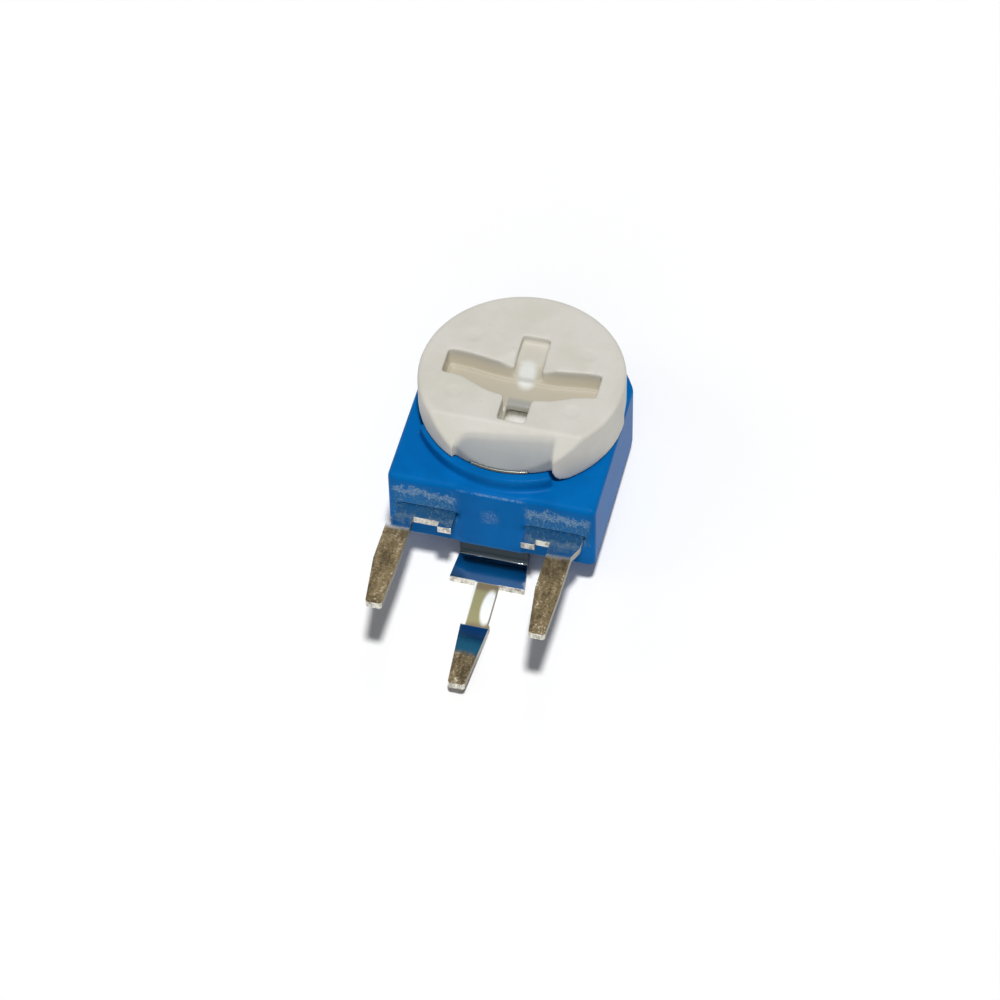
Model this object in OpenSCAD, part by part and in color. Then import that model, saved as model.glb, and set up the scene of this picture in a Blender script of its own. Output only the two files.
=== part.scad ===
// Side-adjust carbon trimmer potentiometer, 6 mm class, in millimetres.
// The origin is on the rotor axis, in the plane of the housing's back face.
// +Z runs up the rotor axis to the screwdriver slot, and the legs point along -Y.

/* [Housing] */
// Width across the housing's two straight sides
housing_w = 6.46; // [5.8:0.02:7.8]
// Distance from the housing's centre line to the rotor axis, to the right
axis_x = 0.12; // [-0.2:0.01:0.2]
// Distance from the rotor axis to the front face, on the side the legs leave
front_reach = 3.5; // [3.4:0.1:4.2]
// Radius of the rounded back
back_r = 3.6; // [3.5:0.05:4.4]
// Radius of the two upright corners at the front
corner_r = 0.12; // [0.05:0.01:0.3]
// Thickness of the housing from its back face to its top face
housing_t = 2.55; // [2.1:0.05:3.2]
// Radius of the rounded edge between the top face and the front face
front_edge_r = 0.15; // [0.1:0.01:0.2]
// Chamfer along the top edges of the two sides
side_chamfer = 0.08; // [0.04:0.02:0.15]
// Half width of the raised panel on the front face
panel_half_w = 0.98; // [0.6:0.02:1.0]
// Height of the raised panel above the front face
panel_h = 0.08; // [0.04:0.02:0.15]
// Radius of the round boss under the rotor
boss_r = 2.8; // [2.7:0.02:2.9]
// Height of the boss and of its stop lug above the top face
boss_h = 0.45; // [0.4:0.01:0.6]
// Angle of the stop lug, which stands in front of the boss
lug_arc = 88; // [60:2:96]
// Ledge of the lug that shows outside the rotor
lug_ledge = 0.12; // [0.06:0.02:0.16]

/* [Resistive element] */
// Radius of the round well that holds the wafer
well_r = 2.5; // [2.4:0.05:2.6]
// Depth of the wafer's upper face below the top of the boss
wafer_drop = 0.25; // [0.2:0.01:0.3]
// Thickness of the wafer
wafer_t = 0.5; // [0.3:0.05:0.7]
// Thickness of the printed layers
print_t = 0.03; // [0.02:0.01:0.04]
// Mean radius of the carbon track
track_r = 1.9; // [1.8:0.05:2.0]
// Width of the carbon track
track_w = 0.5; // [0.4:0.05:0.6]
// Angle of the carbon track, centred on the back
track_arc = 196; // [180:2:204]
// Angle of each end pad beyond the track
pad_arc = 58; // [54:1:62]
// Width of each end pad
pad_w = 0.62; // [0.5:0.02:0.7]

/* [Legs] */
// Distance between the centres of the two outer legs
leg_pitch = 5.0; // [4.6:0.1:6.0]
// Distance between the plane of the outer legs and the plane of the centre leg
row_gap = 2.5; // [2.1:0.1:3.0]
// Height of the outer legs' mid plane above the back face
outer_leg_z = 1.2; // [0.9:0.05:1.4]
// Thickness of the terminal sheet
sheet_t = 0.25; // [0.2:0.05:0.3]
// Width of an outer leg above its taper
leg_w = 0.76; // [0.6:0.02:0.9]
// Width of an outer leg at its tip
leg_tip_w = 0.5; // [0.4:0.02:0.6]
// Sideways set of both outer legs above their taper, from handling
leg_set = -0.18; // [-0.2:0.02:0.2]
// Sideways set of both outer legs at their tips
tip_set = -0.1; // [-0.2:0.02:0.2]
// Rise of both outer legs from the board's face to their tips, from handling
leg_rise = 0.12; // [-0.2:0.02:0.2]
// Distance from the front face to the board, on which the flags' ends seat
seat_reach = 0.65; // [0.5:0.05:0.9]
// Depth of the notch in each outer flag's end, beside its seating foot
flag_notch = 0.2; // [0.1:0.02:0.3]
// Width of the seating foot at the flag's inner corner
foot_w = 0.42; // [0.3:0.02:0.6]
// Distance from the housing's centre line to the inner edge of an outer flag
flag_inner_x = 1.09; // [1.04:0.01:1.3]
// Length of the outer legs beyond the board's face
leg_len = 3.35; // [2.8:0.05:4.2]
// Length of the tapered end of each outer leg
taper_len = 1.7; // [1.0:0.1:2.0]
// Chamfer on the corners of each leg's tip
tip_chamfer = 0.06; // [0.02:0.02:0.1]

/* [Centre leg] */
// Width of the centre terminal's plate and of its flag at the bend
centre_flag_w = 2.12; // [1.8:0.02:2.2]
// Width of the centre flag where it seats on the board
centre_seat_w = 2.36; // [2.2:0.02:2.5]
// Depth of the centre flag's end below the back face, to its mid plane
centre_flag_drop = 1.1; // [0.8:0.02:1.3]
// How much lower the centre flag's end lies than its root
centre_flag_fall = 0.18; // [0:0.02:0.24]
// Width of the narrow neck below the flag
neck_w = 0.74; // [0.6:0.02:0.8]
// Length of the sloping neck
neck_len = 1.52; // [1.1:0.02:1.8]
// Width of the centre leg below its neck
centre_leg_w = 0.9; // [0.8:0.02:1.0]
// Width of the centre leg at its tip
centre_tip_w = 0.52; // [0.4:0.02:0.6]
// Length of the centre leg beyond the board's face
centre_len = 3.8; // [3.2:0.05:4.5]
// Inside radius of the terminals' bends
bend_r = 0.15; // [0.1:0.05:0.2]

/* [Rotor] */
// Diameter of the rotor
rotor_d = 6.34; // [6.2:0.02:6.44]
// Height of the rotor above its rim, which hangs over the boss
rotor_h = 1.17; // [1.0:0.01:1.6]
// Radius of the rounded upper rim
rim_r = 0.12; // [0.08:0.02:0.2]
// Distance from the axis to the straight front edge of the top face
chord_reach = 2.06; // [2.04:0.02:2.2]
// Slope of the shoulder below that edge, in degrees from the upright
shoulder_slope = 47; // [35:1:50]
// Distance from the axis to the pocket's left side
pocket_left = 1.47; // [1.2:0.02:1.6]
// Distance from the axis to the pocket's right side, where the skirt begins
pocket_right = 1.6; // [1.4:0.01:1.65]
// Depth of the pocket in the round wall
pocket_d = 0.14; // [0.1:0.01:0.2]
// Drop from the top face to the pocket's upper edge at its left corner
drop_left = 0.32; // [0.2:0.02:0.4]
// Drop from the top face to the pocket's upper edge at its right corner
drop_right = 0.1; // [0.08:0.02:0.2]
// Distance from the axis to where the pocket's slope would reach the top face
pocket_reach = 2.02; // [1.98:0.01:2.04]
// Slope of the pocket's floor, in degrees from the upright
pocket_slope = 45; // [35:1:47]
// Radius of the pocket's upper left corner
pocket_r = 0.5; // [0.2:0.05:0.6]
// Radius of the skirt's lower corner beside the pocket
skirt_r = 0.5; // [0.1:0.02:0.55]

/* [Screwdriver slot] */
// Length of the long bar of the slot
slot_len = 4.78; // [4.2:0.02:5.0]
// Width of the slot's bar at its ends
slot_w = 0.92; // [0.7:0.02:1.0]
// Thickness of the floor left under the slot
slot_floor_t = 0.28; // [0.24:0.02:0.4]
// Half width of the slot beside its arms, on the front side
bow_front = 0.93; // [0.7:0.01:1.05]
// Half width of the slot beside its arms, on the back side
bow_back = 0.3; // [0.24:0.02:0.6]
// Half length over which the slot widens
bow_len = 2.2; // [1.4:0.1:2.2]
// Width of the front and back arms
arm_w = 0.85; // [0.6:0.05:0.9]
// Sideways offset of both arms from the axis
arm_x = 0.11; // [-0.15:0.01:0.15]
// Radius of the corners between the front arm and the slot's bar
arm_corner_r = 0.16; // [0.05:0.01:0.2]
// Reach of the front arm from the axis
front_arm_reach = 1.9; // [1.6:0.05:1.95]
// Reach of the back arm from the axis
back_arm_reach = 1.5; // [1.2:0.05:1.8]
// Depth of the back arm below the top face
back_arm_d = 0.3; // [0.2:0.02:0.5]
// Distance from the axis to the end of the slot's floor in the front arm, which is open below
floor_reach = 0.67; // [0.62:0.01:0.8]
// Radius of the round dish that eases a blade into the slot
dish_r = 0.95; // [0.8:0.05:1.1]
// Depth of the dish
dish_d = 0.16; // [0.1:0.02:0.24]
// Distance of the four round marks from the axis, along the bar
mark_x = 1.82; // [1.7:0.02:1.9]
// Distance of the four round marks from the axis, across the bar
mark_y = 1.16; // [1.1:0.02:1.24]
// Radius of the round marks
mark_r = 0.26; // [0.2:0.02:0.3]

/* [Wiper and pivot] */
// Thickness of the wiper sheet
wiper_t = 0.1; // [0.08:0.01:0.12]
// Radius of the wiper disc
wiper_r = 2.44; // [2.36:0.02:2.44]
// Radius of the wiper's front tongue, which shows below the pocket
tongue_r = 3.02; // [2.9:0.01:3.04]
// Half width of the front tongue
tongue_half_w = 0.88; // [0.6:0.02:1.2]
// Width of each contact finger
finger_w = 0.18; // [0.14:0.02:0.2]
// Length of each contact finger
finger_len = 1.3; // [1.0:0.05:1.4]
// Radius of the rivet's stem
stem_r = 0.4; // [0.35:0.01:0.45]
// Radius of the rivet's head under the rotor
head_r = 0.56; // [0.5:0.02:0.6]
// Radius of the rivet's flared end under the centre terminal
flare_r = 0.8; // [0.7:0.02:0.9]
// Thickness of the rivet's head and flare
head_t = 0.08; // [0.06:0.01:0.1]
// Radius of the four pegs that hold the wiper to the rotor
peg_r = 0.2; // [0.15:0.01:0.24]
// Distance of the pegs from the axis
peg_ring = 1.5; // [1.3:0.05:1.7]

/* [Travel and fits] */
// Travel of the rotor from its right stop to its left stop, in degrees
travel = 209; // [190:1:225]
// Gap between the skirt and its right stop as drawn, in degrees
stop_gap = 0.8; // [0.5:0.1:2]
// Gap left around pieces that are set into another
set_gap = 0.02; // [0.01:0.01:0.04]
// Gap between pieces that turn past each other
turn_gap = 0.03; // [0.02:0.01:0.05]

/* [Hidden] */
$fn = 96;
over = 1;               // reach of a cut past the face it opens
bend_steps = 8;         // flats in one bend of a terminal
bow_steps = 10;         // flats in one side of the slot's curve
slope_bend_r = 0.6;     // inside radius of the neck's two slight bends
riser_w = 0.5;          // width of the tab that joins a terminal to its pad
rivet_spread = 0.36;    // radius of the tab's spread end on the pad
spread_t = 0.1;         // thickness of the spread end
mark_d = 0.03;          // depth of the round marks
plate_back = 1.05;      // reach of the centre terminal's plate behind the axis
bend_line = 0.27;       // distance of its down bend behind the front face
tip_ball = 0.12;        // radius of the finger's curled contact
tail_rise = 0.12;       // height of the finger's tail above its contact

mid_x = -axis_x;        // the housing's centre line
rotor_r = rotor_d / 2;
boss_top = housing_t + boss_h;
lug_r = rotor_r + lug_ledge;
wafer_top = boss_top - wafer_drop;
well_floor = wafer_top - wafer_t;
track_top = wafer_top + print_t;
wiper_z = boss_top + turn_gap;
wiper_top = wiper_z + wiper_t;
rim_z = boss_top + turn_gap;
rim_in_r = boss_r + turn_gap;
rotor_top = rim_z + rotor_h;
slot_floor = wiper_top + slot_floor_t;
skirt_z = housing_t + turn_gap;
front_y = -front_reach;
seat_y = front_y - seat_reach;
outer_x = leg_pitch / 2;
flag_outer_x = outer_x + leg_w / 2;
outer_tip_y = seat_y - leg_len;
centre_tip_y = seat_y - centre_len;
centre_leg_z = outer_leg_z - row_gap;
riser_x = track_r * sin(31);
riser_y = -track_r * cos(31);
half_t = sheet_t / 2;
bend_mid = bend_r + half_t;
down_y = front_y + bend_line + half_t;
neck_end_y = seat_y - neck_len;
lug_right = -acos(pocket_right / rotor_r) - stop_gap;   // right end of the stop lug
lug_left = lug_right - lug_arc;
skirt_end = lug_left + 360 - travel;                    // far end of the rotor's skirt
contact_at = 90 - (travel - stop_gap) / 2;              // angle of the fingers' contact as drawn
peg_at = [for (i = [1 : 4]) contact_at + 60 * i];
bore_r = stem_r + turn_gap;
finger_root_x = finger_len - 0.15;
bow_start = arm_w / 2 + arm_corner_r;   // half length of the slot's widest stretch
finger_rows = [track_r - 0.13, track_r + 0.13];

// One sector of a flat ring, between two angles and two heights.
module ring_sector(r_in, r_out, from, to, z_low, z_high) {
    translate([0, 0, z_low])
        rotate([0, 0, from])
            rotate_extrude(angle = to - from)
                translate([r_in, 0]) square([r_out - r_in, z_high - z_low]);
}

// A box between two corners.
module block(low, high) {
    translate(low) cube(high - low);
}

// A plate cut to a side outline, which is drawn as [y, z] points.
module across_x(half_w) {
    translate([-half_w, 0, 0])
        rotate([90, 0, 90]) linear_extrude(2 * half_w) children();
}

// ---- Outlines of the terminals ----

function unit(v) = v / norm(v);
function left_of(v) = [-v[1], v[0]];

// Points of a bend between two straight runs of a mid line, moved sideways by side.
function bend_points(before, at, after, r, side) =
    let (d1 = unit(at - before), d2 = unit(after - at),
         turn = atan2(d1[0] * d2[1] - d1[1] * d2[0], d1 * d2),
         way = sign(turn),
         setback = r * tan(abs(turn) / 2),
         hub = at - d1 * setback + left_of(d1) * r * way,
         start = atan2(d1[1], d1[0]) - 90 * way)
    [for (i = [0 : bend_steps])
        let (a = start + turn * i / bend_steps)
        hub + (r - side * way) * [cos(a), sin(a)]];

// One edge of a bent strip, from its mid line's points and the radius at each bend.
function strip_edge(path, radii, side) =
    let (n = len(path), d0 = unit(path[1] - path[0]), d9 = unit(path[n - 1] - path[n - 2]))
    concat([path[0] + left_of(d0) * side],
           [for (i = [1 : n - 2])
               each bend_points(path[i - 1], path[i], path[i + 1], radii[i], side)],
           [path[n - 1] + left_of(d9) * side]);

function reversed(list) = [for (i = [len(list) - 1 : -1 : 0]) list[i]];

// Side outline of a bent strip.
module strip(path, radii) {
    polygon(concat(strip_edge(path, radii, half_t), reversed(strip_edge(path, radii, -half_t))));
}

// Mid line of the centre terminal: under the housing, down, out to its flag, down the neck, out.
centre_path = [[plate_back + over, half_t], [down_y, half_t],
               [down_y, centre_flag_fall - centre_flag_drop], [seat_y, -centre_flag_drop],
               [neck_end_y, centre_leg_z], [centre_tip_y, centre_leg_z]];
centre_radii = [0, bend_mid, bend_mid, slope_bend_r, slope_bend_r, 0];

// Mid line of an outer terminal: flat out to the board's face, then up along the leg.
outer_path = [[0, outer_leg_z], [seat_y, outer_leg_z],
              [outer_tip_y - over, outer_leg_z + leg_rise * (1 + over / leg_len)]];

// Rectangle between two corners.
module area(low, high) {
    translate(low) square(high - low);
}

// Part of the right-hand terminal that is buried in the housing, grown by gap.
// out is its reach past the front face.
module buried_outline(gap, out) {
    area([flag_inner_x - gap, front_y - out], [flag_outer_x + gap, front_y + 0.6 + gap]);
    area([riser_x - riser_w / 2 - gap, front_y + 0.3 - gap],
         [flag_inner_x + riser_w, front_y + 0.6 + gap]);
    area([riser_x - riser_w / 2 - gap, front_y + 0.3], [riser_x + riser_w / 2 + gap, riser_y - bend_r]);
}

// ---- Housing ----

// Straight front and sides, and a back that is round about the rotor axis.
module housing_outline() {
    half_w = housing_w / 2;
    intersection() {
        union() {
            area([-half_w, front_y + corner_r], [half_w, back_r]);
            area([-half_w + corner_r, front_y], [half_w - corner_r, 0]);
            for (side = [-1, 1])
                translate([side * (half_w - corner_r), front_y + corner_r]) circle(corner_r);
        }
        union() {
            circle(back_r);
            area([-half_w, front_y], [half_w, 0]);
        }
    }
}

// Side outline of the block from its front face at from, with a rounded top front edge.
module rounded_side(from, to) {
    hub = [from + front_edge_r, housing_t - front_edge_r];
    area([hub[0], 0], [to, housing_t]);
    area([from, 0], [to, hub[1]]);
    translate(hub) circle(front_edge_r);
}

// Front outline of the block, with its chamfered side edges.
module chamfered_front() {
    half_w = housing_w / 2;
    polygon([[-half_w, 0], [half_w, 0], [half_w, housing_t - side_chamfer],
             [half_w - side_chamfer, housing_t], [-half_w + side_chamfer, housing_t],
             [-half_w, housing_t - side_chamfer]]);
}

module housing_block() {
    intersection() {
        linear_extrude(housing_t) housing_outline();
        across_x(housing_w) rounded_side(front_y, back_r + over);
        translate([0, back_r + over, 0])
            rotate([90, 0, 0]) linear_extrude(back_r + front_reach + 2 * over) chamfered_front();
    }
}

// Raised panel between the two outer flags.
module front_panel() {
    across_x(panel_half_w) rounded_side(front_y - panel_h, front_y + 2 * front_edge_r);
}

// Round boss under the rotor, with the stop lug in front of it.
module boss() {
    cylinder(r = boss_r, h = boss_top);
    intersection() {
        ring_sector(well_r + set_gap, lug_r, lug_left, lug_right, housing_t / 2, boss_top);
        block([mid_x - housing_w / 2 + side_chamfer, front_y + front_edge_r, 0],
              [mid_x + housing_w / 2 - side_chamfer, back_r, boss_top]);
    }
}

// Room for a right-hand terminal: a slot from the front, and a shaft up to the well.
module terminal_room() {
    translate([0, 0, outer_leg_z - half_t])
        linear_extrude(sheet_t) buried_outline(set_gap, over);
    block([riser_x - riser_w / 2 - set_gap, riser_y - bend_mid - over / 2, outer_leg_z - half_t],
          [riser_x + riser_w / 2 + set_gap, riser_y + half_t + set_gap, well_floor + over]);
}

// Shallow channel under the housing for the centre terminal's plate.
module plate_channel() {
    half_w = centre_flag_w / 2 + set_gap;
    block([mid_x - half_w, down_y - half_t - set_gap, -over], [mid_x + half_w, 0, sheet_t]);
    translate([0, 0, -over]) cylinder(r = half_w, h = over + sheet_t);
}

module housing() {
    color("royalblue")
        difference() {
            union() {
                translate([mid_x, 0, 0]) {
                    housing_block();
                    front_panel();
                }
                boss();
            }
            translate([0, 0, well_floor]) cylinder(r = well_r, h = boss_top);
            translate([0, 0, -over]) cylinder(r = bore_r, h = boss_top + over);
            plate_channel();
            translate([mid_x, 0, 0]) {
                terminal_room();
                mirror([1, 0, 0]) terminal_room();
            }
        }
}

// ---- Resistive element ----

// Room through the wafer and its pads for the tab of a terminal at x.
module riser_room(x) {
    block([x - riser_w / 2 - set_gap, riser_y - half_t - set_gap, 0],
          [x + riser_w / 2 + set_gap, riser_y + half_t + set_gap, boss_top]);
}

module element_wafer() {
    color("saddlebrown")
        difference() {
            translate([0, 0, well_floor]) cylinder(r = well_r - set_gap, h = wafer_t);
            cylinder(r = head_r, h = boss_top);
            for (side = [-1, 1]) riser_room(mid_x + side * riser_x);
        }
}

module carbon_track() {
    color("dimgray")
        ring_sector(track_r - track_w / 2, track_r + track_w / 2,
                    90 - track_arc / 2, 90 + track_arc / 2, wafer_top, track_top);
}

// Silver pad at the right-hand end of the track, with the terminal's tab through it at x.
module end_pad(x) {
    difference() {
        ring_sector(track_r - pad_w / 2, track_r + pad_w / 2,
                    90 - track_arc / 2 - pad_arc, 90 - track_arc / 2, wafer_top, track_top);
        riser_room(x);
    }
}

module right_end_pad() {
    color("silver") end_pad(riser_x + mid_x);
}

module left_end_pad() {
    color("silver") mirror([1, 0, 0]) end_pad(riser_x - mid_x);
}

// ---- Terminals ----

// Plan of an outer leg, from inside its flag to its tapered tip. way is 1 for the right-hand leg.
module outer_leg(way) {
    wide_x = outer_x + way * leg_set;
    tip_x = outer_x + way * tip_set;
    taper_y = outer_tip_y + taper_len;
    polygon([[flag_outer_x - leg_w, front_y], [flag_outer_x, front_y],
             [flag_outer_x, seat_y + flag_notch], [wide_x + leg_w / 2, seat_y - flag_notch],
             [wide_x + leg_w / 2, taper_y], [tip_x + leg_tip_w / 2, outer_tip_y + tip_chamfer],
             [tip_x + leg_tip_w / 2 - tip_chamfer, outer_tip_y],
             [tip_x - leg_tip_w / 2 + tip_chamfer, outer_tip_y],
             [tip_x - leg_tip_w / 2, outer_tip_y + tip_chamfer],
             [wide_x - leg_w / 2, taper_y], [wide_x - leg_w / 2, seat_y + flag_notch]]);
}

// Plan of an outer terminal: buried part, flag with its seating foot, and leg.
module outer_plan(way) {
    buried_outline(0, 0);
    area([flag_inner_x, seat_y + flag_notch], [flag_outer_x, front_y + 0.5]);
    area([flag_inner_x, seat_y], [flag_inner_x + foot_w, seat_y + over / 2]);
    outer_leg(way);
}

// Outer terminal: a flat stamping whose buried tab bends up to the end pad.
module outer_terminal(way) {
    lift = outer_leg_z - half_t;
    hub_y = riser_y - bend_mid;
    intersection() {
        across_x(housing_w) strip(outer_path, [0, slope_bend_r, 0]);
        linear_extrude(housing_t) outer_plan(way);
        block([0, outer_tip_y - over, 0], [housing_w, hub_y, housing_t]);
    }
    intersection() {
        translate([0, hub_y, outer_leg_z + bend_mid])
            rotate([0, 90, 0])
                difference() {
                    cylinder(r = bend_r + sheet_t, h = 4 * riser_w);
                    translate([0, 0, -over]) cylinder(r = bend_r, h = 4 * riser_w + 2 * over);
                }
        block([riser_x - riser_w / 2, hub_y, lift],
              [riser_x + riser_w / 2, riser_y + half_t, outer_leg_z + bend_mid]);
    }
    block([riser_x - riser_w / 2, riser_y - half_t, outer_leg_z + bend_mid],
          [riser_x + riser_w / 2, riser_y + half_t, track_top]);
    translate([riser_x, riser_y, track_top]) cylinder(r = rivet_spread, h = spread_t);
}

module right_terminal() {
    color("tan") translate([mid_x, 0, 0]) outer_terminal(1);
}

module left_terminal() {
    color("tan") translate([mid_x, 0, 0]) mirror([1, 0, 0]) outer_terminal(-1);
}

// Plan of the centre terminal: round plate end, strip, flared flag, neck and tapered leg.
module centre_plan() {
    half_w = centre_flag_w / 2;
    leg_y = neck_end_y + slope_bend_r / 8;
    circle(half_w);
    translate([mid_x, 0]) {
        area([-half_w, down_y], [half_w, 0]);
        polygon([[-half_w, down_y], [-centre_seat_w / 2, seat_y], [-neck_w / 2, seat_y],
                 [-neck_w / 2, leg_y], [-centre_leg_w / 2, leg_y],
                 [-centre_tip_w / 2, centre_tip_y + tip_chamfer],
                 [-centre_tip_w / 2 + tip_chamfer, centre_tip_y],
                 [centre_tip_w / 2 - tip_chamfer, centre_tip_y],
                 [centre_tip_w / 2, centre_tip_y + tip_chamfer],
                 [centre_leg_w / 2, leg_y], [neck_w / 2, leg_y],
                 [neck_w / 2, seat_y], [centre_seat_w / 2, seat_y], [half_w, down_y]]);
    }
}

module centre_terminal() {
    color("tan")
        difference() {
            intersection() {
                across_x(centre_seat_w) strip(centre_path, centre_radii);
                translate([0, 0, -row_gap - over]) linear_extrude(row_gap + 3 * over) centre_plan();
            }
            translate([0, 0, -over]) cylinder(r = bore_r, h = 3 * over);
        }
}

// ---- Turning pieces ----

module pivot_rivet() {
    color("gainsboro") {
        translate([0, 0, -head_t - turn_gap]) cylinder(r = flare_r, h = head_t);
        translate([0, 0, -head_t - turn_gap])
            cylinder(r = stem_r, h = wiper_top + head_t + turn_gap);
        translate([0, 0, wiper_top]) cylinder(r1 = head_r, r2 = head_r - head_t / 2, h = head_t);
    }
}

// Side outline of a contact finger: its root in the disc, its slope, and its curled end.
module finger_side() {
    touch_z = track_top + tip_ball;
    polygon([[finger_root_x, wiper_z], [finger_root_x, wiper_top], [finger_root_x - 0.2, wiper_top],
             [0.02, touch_z + tip_ball * 0.9], [-tip_ball * 1.6, touch_z + tail_rise],
             [-tip_ball * 1.9, touch_z + tail_rise - wiper_t],
             [-tip_ball * 0.5, touch_z - tip_ball * 0.8], [tip_ball * 0.6, touch_z - tip_ball * 0.7]]);
    translate([0, touch_z]) circle(tip_ball);
}

// Flat outline of the wiper: a disc with a tongue at the front.
module wiper_outline() {
    circle(wiper_r);
    intersection() {
        circle(tongue_r);
        area([-tongue_half_w, -tongue_r], [tongue_half_w, 0]);
    }
}

// Four pegs under the rotor, grown by gap.
module pegs(gap) {
    for (angle = peg_at)
        rotate([0, 0, angle])
            translate([peg_ring, 0, wiper_z - gap])
                cylinder(r = peg_r + gap / 2, h = wiper_t + set_gap + 2 * gap);
}

module wiper() {
    color("khaki") {
        difference() {
            translate([0, 0, wiper_z]) linear_extrude(wiper_t) wiper_outline();
            cylinder(r = stem_r, h = rotor_top);
            rotate([0, 0, contact_at - 90])
                block([-0.5, track_r - 0.32, wiper_z - over],
                      [finger_root_x - 0.1, track_r + 0.32, rotor_top]);
            pegs(set_gap);
        }
        rotate([0, 0, contact_at - 90])
            for (y = finger_rows)
                translate([0, y + finger_w / 2, 0])
                    rotate([90, 0, 0]) linear_extrude(finger_w) finger_side();
    }
}

// Half section of the rotor: flat below, with a rim over the boss and a rounded upper rim.
module rotor_section() {
    area([0, wiper_top], [rotor_r, rotor_top - rim_r]);
    area([0, wiper_top], [rotor_r - rim_r, rotor_top]);
    translate([rotor_r - rim_r, rotor_top - rim_r]) circle(rim_r);
    area([rim_in_r, rim_z], [rotor_r, wiper_top + set_gap]);
}

// Side outline behind the sloping shoulder, rounded into the top face.
module behind_shoulder() {
    hub_y = -chord_reach + rim_r * (1 - sin(shoulder_slope)) / cos(shoulder_slope);
    hub_z = rotor_top - rim_r;
    polygon([[hub_y, rotor_top], [rotor_r + over, rotor_top], [rotor_r + over, 0],
             [-chord_reach - rotor_top * tan(shoulder_slope), 0],
             [hub_y - rim_r * cos(shoulder_slope), hub_z + rim_r * sin(shoulder_slope)],
             [hub_y, hub_z]]);
    translate([hub_y, hub_z]) circle(rim_r);
}

// Side outline behind the pocket's sloping floor.
module behind_pocket() {
    rise = tan(pocket_slope);
    polygon([[-pocket_reach + over * rise, rotor_top + over], [rotor_r + over, rotor_top + over],
             [rotor_r + over, 0], [-pocket_reach - rotor_top * rise, 0]]);
}

// A plate cut to a front outline, which is drawn as [x, z] points.
module along_y() {
    translate([0, over, 0])
        rotate([90, 0, 0]) linear_extrude(rotor_r + 3 * over) children();
}

// Front outline of the pocket, whose upper edge rises from a rounded left corner.
module pocket_outline() {
    hub = [-pocket_left + pocket_r, rotor_top - drop_left - pocket_r];
    area([-pocket_left, 0], [pocket_right, hub[1]]);
    polygon([[hub[0], 0], [pocket_right, 0], [pocket_right, rotor_top - drop_right],
             [hub[0], rotor_top - drop_left]]);
    translate(hub) circle(pocket_r);
}

// Room in the rotor's front that the pocket takes.
module pocket_room() {
    difference() {
        along_y() pocket_outline();
        intersection() {
            cylinder(r = rotor_r - pocket_d, h = rotor_top + over);
            across_x(rotor_r + over) behind_pocket();
        }
    }
}

// Skirt at the right of the rotor, which meets the housing's lug at both ends of the travel.
module skirt() {
    hub = [pocket_right + skirt_r, skirt_z + skirt_r];
    intersection() {
        ring_sector(rim_in_r, rotor_r, -90, skirt_end, skirt_z, wiper_top + set_gap);
        along_y() {
            area([hub[0], skirt_z], [rotor_r + over, rotor_top]);
            area([pocket_right, hub[1]], [rotor_r + over, rotor_top]);
            translate(hub) circle(skirt_r);
        }
    }
}

// Half width of the slot at a distance from its arms, easing from its full bow to the bar.
function bow(reach, full) =
    let (share = min(1, max(0, (reach - bow_start) / (bow_len - bow_start))))
    slot_w / 2 + (full - slot_w / 2) * (1 + cos(180 * share)) / 2;

function bow_side(from, to, full, way) =
    [for (i = [0 : bow_steps])
        let (x = from + (to - from) * i / bow_steps) [arm_x + x, way * bow(abs(x), full)]];

// Rounded corner between the bar and the left or right wall of the front arm.
function arm_corner(way) =
    let (wall = arm_x + way * arm_w / 2)
    bend_points([wall + way, -bow_front], [wall, -bow_front], [wall, -front_arm_reach],
                arm_corner_r, 0);

// Plan of the slot: a bar, bowed towards the front beside its arms, and the front arm.
module slot_plan() {
    half_l = slot_len / 2;
    half_w = slot_w / 2;
    polygon(concat([[-half_l, half_w], [-half_l, -half_w]],
                   bow_side(-bow_len, -bow_start, bow_front, -1), arm_corner(-1),
                   [[arm_x - arm_w / 2, -front_arm_reach], [arm_x + arm_w / 2, -front_arm_reach]],
                   reversed(arm_corner(1)), bow_side(bow_start, bow_len, bow_front, -1),
                   [[half_l, -half_w], [half_l, half_w]],
                   bow_side(bow_len, bow_start, bow_back, 1),
                   bow_side(-bow_start, -bow_len, bow_back, 1)));
}

module slot_cuts() {
    translate([0, 0, slot_floor]) linear_extrude(rotor_top - slot_floor + over) slot_plan();
    // the front arm is open below, and shows the wiper
    block([arm_x - arm_w / 2, -front_arm_reach, 0],
          [arm_x + arm_w / 2, -floor_reach, slot_floor + set_gap]);
    // back arm: a shallow groove that ramps down into the bar
    translate([arm_x, 0, 0])
        across_x(arm_w / 2)
            polygon([[back_arm_reach, rotor_top + over], [back_arm_reach, rotor_top - back_arm_d],
                     [bow_back + 0.4, rotor_top - back_arm_d], [0.05, slot_floor],
                     [0, rotor_top + over]]);
    // dish that eases a blade in
    translate([arm_x, 0, rotor_top - dish_d])
        cylinder(r1 = dish_r - 2 * dish_d, r2 = dish_r + dish_d / 5, h = dish_d * 1.1);
}

module rotor() {
    color("whitesmoke") {
        difference() {
            union() {
                intersection() {
                    rotate_extrude() rotor_section();
                    across_x(rotor_r + over) behind_shoulder();
                }
                skirt();
            }
            pocket_room();
            slot_cuts();
            // room for the rivet's head and for the wiper's tongue
            translate([0, 0, wiper_top - over])
                cylinder(r = head_r + set_gap, h = over + head_t + set_gap);
            block([-tongue_half_w - set_gap, -rotor_r - over, 0],
                  [tongue_half_w + set_gap, 0, wiper_top]);
            for (x = [-mark_x, mark_x], y = [-mark_y, mark_y])
                translate([x, y, rotor_top - mark_d]) cylinder(r = mark_r, h = over);
        }
        pegs(0);
    }
}

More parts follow.
